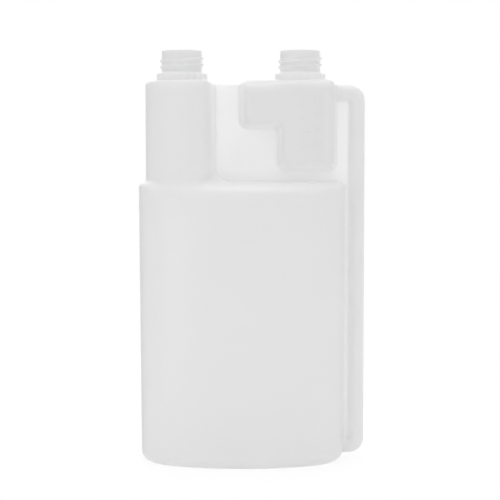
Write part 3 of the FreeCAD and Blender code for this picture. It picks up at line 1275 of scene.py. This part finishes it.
@dataclass(frozen=True)
class Marks:
    """Where the wall gets painted shade or painted light, and where it is thin or raised.

    Each mark is a number from 0 to 1 for every point of the wall. The plastic reads them.
    """

    wall: Wall
    neck: NeckFinish
    thin_reach: float = 6.0 * MM
    crease_reach: float = 16.0 * MM
    least_slope: float = 0.1
    deck_clear: float = 4.0 * MM
    proud: float = 0.2 * MM
    fade: float = 1.2 * MM
    least_light_toward_leg: float = 0.3
    column_share: float = 0.4
    foot_reach: float = 9.0 * MM
    ring_reach: float = 0.6 * MM
    rest_reach: float = 1.2 * MM

    def on(self, form: Form, at: Places) -> Field:
        """How far places belong to a form's wall."""
        return 1.0 - ease(self.proud, self.fade, form(at))

    def light_toward_leg(self, at: Places) -> Field:
        """Share of the painted light on thin places: more towards the measuring leg."""
        towards = ease(self.wall.column.right, self.wall.measuring.leg_left, at.x)
        return self.least_light_toward_leg + (1.0 - self.least_light_toward_leg) * towards

    def raised(self, at: Places) -> Field:
        """Ticks and numbers, which stand proud of the measuring leg's face."""
        leg = self.wall.measuring
        proud = (-at.y > leg.half + self.proud) & (at.x > leg.leg_left)
        return (proud & (at.z > leg.main.deck) & (at.z < leg.top)).astype(float)

    def values(self, points: Field) -> dict[str, Field]:
        """Work out the marks.

        Args:
            points: one row for each point of the wall.

        Returns:
            The marks by name.
        """
        wall = self.wall
        at = Places(*points.T)
        here, gradient = slope(wall.outer, points)
        steep = np.maximum(np.linalg.norm(gradient, axis=1), self.least_slope)
        way = gradient / steep[:, None]
        below = wall.outer(Places(*(points - way * self.thin_reach).T)) - here
        # How open the space outside the skin is: little in creases, where painted light goes
        above = wall.outer(Places(*(points + way * self.crease_reach).T)) - here
        top = wall.measuring.top
        ring = top + self.neck.ring_rise
        body = 1.0 - ease(top, top + self.ring_reach, at.z)
        clear = ease(self.deck_clear, 2 * self.deck_clear, np.abs(at.z - wall.main.deck))
        chamber = self.on(wall.measuring.distance, at)
        column = self.on(wall.column.distance, at)
        risen = ease(ring, ring + self.neck.collar, at.z) + ease(ring, wall.main.whole.rim, at.z)
        return {
            # Painted shade: the measuring chamber, and less so the column, are made dimmer
            "chambers_painted_shade": np.maximum(chamber, column * self.column_share),
            # Painted light on thin places such as the web, more towards the measuring leg
            "thin_places_painted_light": np.clip(1.0 + below / self.thin_reach, 0.0, 1.0) * body * self.light_toward_leg(at),
            # Painted light in creases and corners, where shade would fall
            "crease_painted_light": np.clip(1.0 - above / self.crease_reach, 0.0, 1.0) * body * clear,
            # Painted light on the ratchet rings and necks above the chamber tops
            "ring": 1.0 - body,
            # Painted shade that grows up each neck towards its rim, leaving the lower neck lighter
            "neck": risen / 2,
            # Painted light low on the wall, against the shade at the foot
            "foot": 1.0 - ease(0.0, self.foot_reach, at.z),
            "tube": self.on(wall.channel.distance, at),
            # Painted shade on the ticks and numbers
            "raised": self.raised(at),
            "rest": 1.0 - ease(0.0, self.rest_reach, at.z),
        }

    def put_on(self, mesh: bpy.types.Mesh) -> None:
        """Keep the marks as attributes of a mesh."""
        places = np.empty(len(mesh.vertices) * 3)
        mesh.vertices.foreach_get("co", places)
        for name, values in self.values(places.reshape(-1, 3)).items():
            layer = mesh.attributes.new(name, "FLOAT", "POINT")
            layer.data.foreach_set("value", values)


@dataclass(frozen=True)
class Bottle:
    """The whole bottle: one closed wall with two open necks.

    Args:
        wall: outer form and hollow.
        neck: what both necks are like.
        graduations: what stands on the measuring leg.
        sharp: angle above which an edge stays sharp, in degrees.
    """

    wall: Wall
    neck: NeckFinish
    graduations: Graduations
    sharp: float = 38.0

    def skin(self, name: str, form: Form, grid: Grid) -> bpy.types.Object:
        """Lay one of the wall's surfaces and report it."""
        piece = link(name, Skin(form, grid).mesh(name))
        LOG.info("%s: %d quads", name, len(piece.data.polygons))
        return piece

    def carved(self, material: bpy.types.Material) -> bpy.types.Object:
        """The outer surface with the necks and graduations added and the hollow taken away."""
        whole = self.wall.main.whole
        shell = self.skin("bottle_shell", self.wall.outer, OUTER_GRID)
        sites = ((whole.filler, self.wall.column.top), (whole.dosing, self.wall.measuring.top))
        carve(shell, turn("barrels", [self.neck.barrel(*site) for site in sites]), Cut.ADD)
        for name, (axis, top) in zip(("filler", "dosing"), sites):
            carve(shell, self.neck.thread(name + "_thread", axis, material), Cut.ADD)
            carve(shell, self.neck.notches(name + "_notches", axis, top, material), Cut.TAKE)
        carve(shell, self.graduations.ticks(material), Cut.ADD)
        carve(shell, self.graduations.figures(), Cut.ADD)
        carve(shell, self.skin("hollow", self.wall.inner, INNER_GRID), Cut.TAKE)
        carve(shell, turn("bores", [self.neck.plug(*site) for site in sites]), Cut.TAKE)
        drop_slivers(shell.data)
        return shell

    def build(self, material: bpy.types.Material) -> bpy.types.Object:
        """Make the bottle's one piece.

        Args:
            material: its plastic.

        Returns:
            The piece, in place of the CAD node.
        """
        shell = self.carved(material)
        faces = shell.data.polygons
        shell.data.materials.clear()
        shell.data.materials.append(material)
        faces.foreach_set("material_index", [0] * len(faces))
        faces.foreach_set("use_smooth", [True] * len(faces))
        shell.data.set_sharp_from_angle(angle=math.radians(self.sharp))
        Marks(self.wall, self.neck).put_on(shell.data)
        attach(shell, BODY)
        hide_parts(NODE)
        return shell


@dataclass(frozen=True)
class Grain:
    """Smooth noise in the plastic.

    Args:
        size: size of its features.
        detail: how many finer layers it has.
        change: how much it changes the plastic's level.
        height: how far it raises the skin.
    """

    size: float
    detail: float
    change: float = 0.0
    height: float = 0.0

    def value(self, graph: Graph, place: Wire) -> Wire:
        """The noise, from 0 to 1."""
        return graph.node("ShaderNodeTexNoise", {}, {
            "Vector": place, "Scale": 1.0 / self.size, "Detail": self.detail, "Roughness": 0.5})


@dataclass(frozen=True)
class NaturalPolyethylene:
    """Milky translucent polyethylene with the satin skin of a blow mould.

    Each face gives part of the light back and lets the rest through. How much of it is kept
    goes from a dim to a clear colour. A level between the two says how clear the wall is, and
    each mark draws it towards a level of its own. Most marks paint light or shade into that
    level: painted shade on the chambers, the column, the neck tops, the ticks and the numbers,
    and painted light on thin places, creases, the rings and the foot.

    Args:
        dim: colour at level 0.
        clear: colour at level 1.
        plain: level where no mark is.
        levels: the marks' own levels, in the order in which they act.
        cloud: broad unevenness of the wall.
        streak: fine upright draw lines.
        peel: fine grain of the skin.
        streak_stretch: how much the streaks are drawn out, less is longer.
        roughness: roughness of the skin.
        roughness_change: how much cloud and streaks change it.
        streak_share: the streaks' share in that.
        scuff: how much rougher the skin is where the bottle rests.
        density: index of refraction.
        through: share of the light that goes through a face.
        through_crease: the same in a crease, where the extra light through it is part of the crease's
            painted light.
        neck_clear: how near a neck comes to a crease in this.
        grazing: power with which the gloss grows at grazing angles.
    """

    dim: Color = (0.9, 0.9, 0.9, 1.0)
    clear: Color = WHITE
    plain: float = 0.6
    levels: tuple[tuple[str, float], ...] = (
        # Painted shade on the measuring chamber and the column
        ("chambers_painted_shade", 0.45),
        # Painted light on thin places such as the web, more towards the measuring leg
        ("thin_places_painted_light", 1.0),
        # Painted light in creases and corners, where shade would fall
        ("crease_painted_light", 1.0),
        # Painted light on the ratchet rings and necks above the chamber tops
        ("ring", 0.85),
        # Painted shade that grows up each neck towards its rim
        ("neck", 0.1),
        # Painted light low on the wall, against the shade at the foot
        ("foot", 0.8),
        ("tube", 0.62),
        # Painted shade on the ticks and numbers
        ("raised", 0.2),
    )
    cloud: Grain = Grain(26.0 * MM, 2.0, change=0.05)
    streak: Grain = Grain(1.7 * MM, 3.0, change=0.02, height=0.008 * MM)
    peel: Grain = Grain(1.1 * MM, 1.0, height=0.009 * MM)
    streak_stretch: float = 0.02
    roughness: float = 0.34
    roughness_change: float = 0.05
    streak_share: float = 0.3
    scuff: float = 0.2
    density: float = 1.54
    through: float = 0.65
    through_crease: float = 1.0
    neck_clear: float = 0.65
    grazing: float = 5.0

    def milk(self, graph: Graph, level: Wire, roughness: Wire, normal: Wire) -> Wire:
        """What a face gives back, mixed with what it lets through.

        Args:
            graph: the material's graph.
            level: how clear the wall is, with the marks' painted light and shade in it.
            roughness: roughness of the skin.
            normal: direction of the skin.

        Returns:
            The mixed shader's wire.
        """
        skin = graph.node("ShaderNodeBsdfPrincipled", {}, {
            "Base Color": graph.mix(level, self.dim, self.clear),
            "Roughness": roughness,
            "IOR": self.density,
            "Specular IOR Level": 0.0,
            "Normal": normal,
        })
        dim, clear = (
            graph.node("ShaderNodeBsdfTranslucent", {}, {"Color": color, "Normal": normal})
            for color in (self.dim, self.clear)
        )
        through = graph.node("ShaderNodeMixShader", {}, {0: level, 1: dim, 2: clear})
        # Creases and necks let more light through; in creases this is part of their painted light
        flat = graph.attribute("crease_painted_light").at_least(graph.attribute("neck") * self.neck_clear)
        part = self.through + flat * (self.through_crease - self.through)
        return graph.node("ShaderNodeMixShader", {}, {0: part, 1: skin, 2: through})

    def material(self) -> bpy.types.Material:
        """Build the node tree."""
        material = bpy.data.materials.new("milky_polyethylene")
        material.use_nodes = True
        material.node_tree.nodes.clear()
        graph = Graph(material.node_tree)
        place = graph.node("ShaderNodeTexCoord", {}, {}, "Object")
        upright = graph.node(
            "ShaderNodeMapping", {}, {"Vector": place, "Scale": (1.0, 1.0, self.streak_stretch)}
        )
        cloud = self.cloud.value(graph, place) - 0.5
        streak = self.streak.value(graph, upright) - 0.5
        peel = self.peel.value(graph, place)

        level = self.plain + cloud * self.cloud.change + streak * self.streak.change
        # The marks draw the level towards their own, painting light and shade into it
        for name, own in self.levels:
            level = level.toward(own, graph.attribute(name))
        roughness = self.roughness + (cloud + streak * self.streak_share) * self.roughness_change
        roughness = roughness + graph.attribute("rest") * (peel * self.scuff)
        relief = peel * self.peel.height + streak * self.streak.height
        normal = graph.node(
            "ShaderNodeBump", {}, {"Height": relief, "Strength": 1.0, "Distance": 1.0}
        )

        facing = graph.node(
            "ShaderNodeLayerWeight", {}, {"Blend": 0.5, "Normal": normal}, "Facing"
        )
        straight = ((self.density - 1.0) / (self.density + 1.0)) ** 2
        shine = straight + facing**self.grazing * (1.0 - straight)
        gloss = graph.node("ShaderNodeBsdfAnisotropic", {}, {
            "Color": self.clear, "Roughness": roughness, "Normal": normal})
        milk = self.milk(graph, level, roughness, normal)
        mixed = graph.node("ShaderNodeMixShader", {}, {0: shine, 1: milk, 2: gloss})
        graph.finish("ShaderNodeOutputMaterial", {"Surface": mixed})
        return material


@dataclass(frozen=True)
class Glow:
    """A soft light patch of the surroundings.

    Args:
        azimuth: degrees from the front towards the right.
        elevation: degrees above the floor.
        sharpness: how quickly it falls off, as a power.
        strength: its brightness in the middle.
    """

    azimuth: float
    elevation: float
    sharpness: float
    strength: float

    def direction(self) -> tuple[float, float, float]:
        """Unit vector to its middle."""
        turn = math.radians(self.azimuth)
        rise = math.radians(self.elevation)
        return (
            math.sin(turn) * math.cos(rise), -math.cos(turn) * math.cos(rise), math.sin(rise)
        )


@dataclass(frozen=True)
class Softbox:
    """Upright rectangular studio light that faces the bottle."""

    azimuth: float = -46.0
    distance: float = 0.85
    width: float = 0.2
    height: float = 0.3
    middle: float = 0.1
    power: float = 0.25

    def build(self) -> None:
        """Add the light."""
        light = bpy.data.lights.new("softbox", "AREA")
        light.shape = "RECTANGLE"
        light.size = self.width
        light.size_y = self.height
        light.energy = self.power
        holder = bpy.data.objects.new("softbox", light)
        turn = math.radians(self.azimuth)
        holder.location = (
            math.sin(turn) * self.distance, -math.cos(turn) * self.distance, self.middle
        )
        holder.rotation_euler = (math.radians(90.0), 0.0, turn)
        holder.visible_camera = False
        bpy.context.scene.collection.objects.link(holder)


@dataclass(frozen=True)
class Studio:
    """White surroundings, a white floor, a softbox and the camera."""

    even: float = 0.694
    glows: tuple[Glow, ...] = (
        Glow(180.0, 5.0, 2.0, 0.476),
        Glow(180.0, 45.0, 6.0, 0.386),
        Glow(-90.0, 5.0, 4.0, 0.089),
        Glow(90.0, 5.0, 4.0, 0.114),
        Glow(0.0, 80.0, 20.0, 3.0),
    )
    flags: tuple[Glow, ...] = (Glow(-140.0, -6.0, 14.0, 0.62),)
    softbox: Softbox = Softbox()
    floor_half: float = 0.35
    floor_deep: float = 6.0
    table: float = 0.85
    floor_color: Color = (0.96, 0.96, 0.96, 1.0)
    floor_roughness: float = 0.9
    lens: float = 108.0
    sensor: float = 36.0
    camera: tuple[float, float, float] = (-0.00095, -0.930, 0.1965)
    camera_drop: float = 4.03
    bounces: int = 32

    def surroundings(self) -> None:
        """World of soft glows, plain white where the camera looks at it."""
        world = bpy.data.worlds.new("studio")
        world.use_nodes = True
        world.node_tree.nodes.clear()
        graph = Graph(world.node_tree)
        way = graph.node("ShaderNodeTexCoord", {}, {}, "Generated")
        light = self.even
        for glow in self.glows + self.flags:
            facing = graph.node(
                "ShaderNodeVectorMath",
                {"operation": "DOT_PRODUCT"},
                {0: way, 1: glow.direction()},
                "Value",
            )
            spread = facing.at_least(0.0) ** glow.sharpness * glow.strength
            light = light - spread if glow in self.flags else light + spread
        light = light.at_least(0.0)
        seen = graph.node("ShaderNodeLightPath", {}, {}, "Is Camera Ray")
        strength = light + seen * (1.0 - light)
        shine = graph.node("ShaderNodeBackground", {}, {"Color": WHITE, "Strength": strength})
        graph.finish("ShaderNodeOutputWorld", {"Surface": shine})
        bpy.context.scene.world = world

    def floor(self) -> None:
        """Level white floor under the bottle."""
        mesh = bpy.data.meshes.new("floor")
        with editing(mesh) as shape:
            bmesh.ops.create_grid(shape, x_segments=1, y_segments=1, size=1.0)
            bmesh.ops.scale(shape, vec=(self.floor_half, self.floor_deep, 1.0), verts=shape.verts)
        material = bpy.data.materials.new("floor_white")
        material.use_nodes = True
        material.node_tree.nodes.clear()
        graph = Graph(material.node_tree)
        paint = graph.node("ShaderNodeBsdfPrincipled", {}, {
            "Base Color": self.floor_color,
            "Roughness": self.floor_roughness,
            "Specular IOR Level": 0.0,
        })
        # Lit from below as a light table is, where it is looked at
        table = graph.node("ShaderNodeEmission", {}, {"Color": WHITE})
        seen = graph.node("ShaderNodeLightPath", {}, {}, "Is Camera Ray")
        lit = graph.node("ShaderNodeMixShader", {}, {0: seen * self.table, 1: paint, 2: table})
        graph.finish("ShaderNodeOutputMaterial", {"Surface": lit})
        mesh.materials.append(material)
        floor = link("floor", mesh)
        # The dim sides of the room outline the bottle in its gloss, down to its foot
        floor.visible_glossy = False

    def view(self) -> None:
        """Camera in front of the bottle, a little above its middle."""
        camera = bpy.data.cameras.new("camera")
        camera.sensor_width = self.sensor
        camera.lens = self.lens
        holder = bpy.data.objects.new("camera", camera)
        holder.location = self.camera
        holder.rotation_euler = (math.radians(90.0 - self.camera_drop), 0.0, 0.0)
        scene = bpy.context.scene
        scene.collection.objects.link(holder)
        scene.camera = holder
        scene.view_settings.view_transform = "Standard"
        # Light passes through many faces of the wall before it reaches the camera
        scene.cycles.max_bounces = self.bounces
        scene.cycles.diffuse_bounces = self.bounces
        scene.cycles.transmission_bounces = self.bounces

    def build(self) -> None:
        """Set the surroundings, the lights, the floor and the camera."""
        self.surroundings()
        self.softbox.build()
        self.floor()
        self.view()


def main() -> None:
    """Build the bottle, dress it and set the studio."""
    logging.basicConfig(level=logging.INFO, format="%(name)s: %(message)s")
    whole = Overall.from_frame()
    main_chamber = MainChamber(whole)
    column = FillerColumn(main_chamber)
    measuring = MeasuringChamber(main_chamber)
    channel = TransferChannel(main_chamber, measuring)
    wall = Wall(main_chamber, column, measuring, channel, Web(column, measuring, channel))
    bottle = Bottle(wall, NeckFinish(whole, measuring), Graduations(measuring))
    shell = bottle.build(NaturalPolyethylene().material())
    LOG.info("%s: %d faces", shell.name, len(shell.data.polygons))
    Studio().build()
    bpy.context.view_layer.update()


if __name__ == "__main__":
    main()
